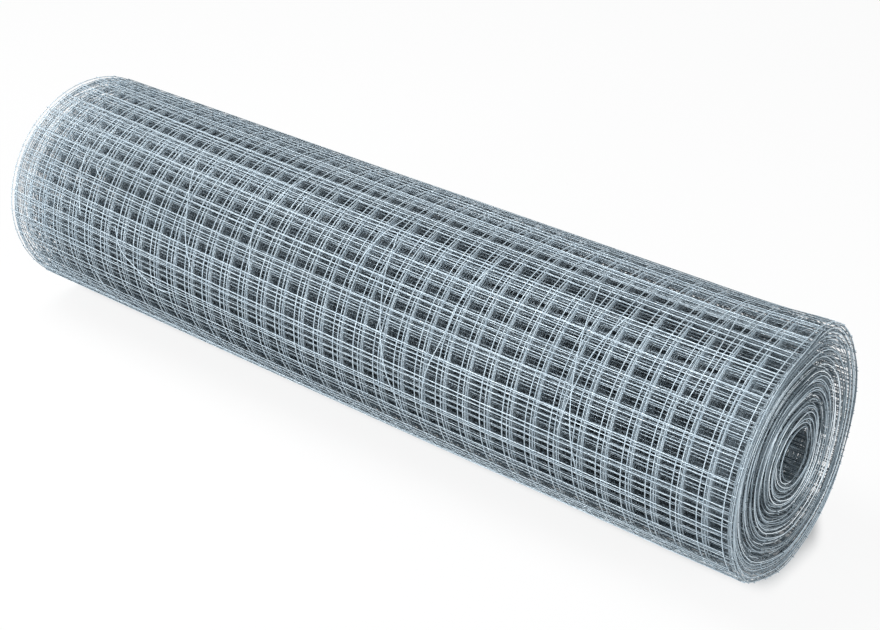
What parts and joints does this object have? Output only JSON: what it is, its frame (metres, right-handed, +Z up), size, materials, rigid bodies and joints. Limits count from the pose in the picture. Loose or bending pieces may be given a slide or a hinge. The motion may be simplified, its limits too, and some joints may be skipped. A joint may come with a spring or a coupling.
{
  "type": "roll of welded wire mesh",
  "caption": "Roll of galvanised welded wire mesh with square cells, wound in a tight spiral around an open bore, lying on its side.",
  "frame": {"origin": "on the floor under the middle of the roll, which lies on its side", "axes": "+X along the roll's axis, towards the end whose inner turns sit back; +Z up"},
  "size_m": [0.9263, 0.2456, 0.2455],
  "materials": {
    "galvanised_wire": "bright zinc coating, semi-gloss"
  },
  "bodies": {
    "root": {"mesh_roll": "galvanised_wire"}
  },
  "joints": []
}
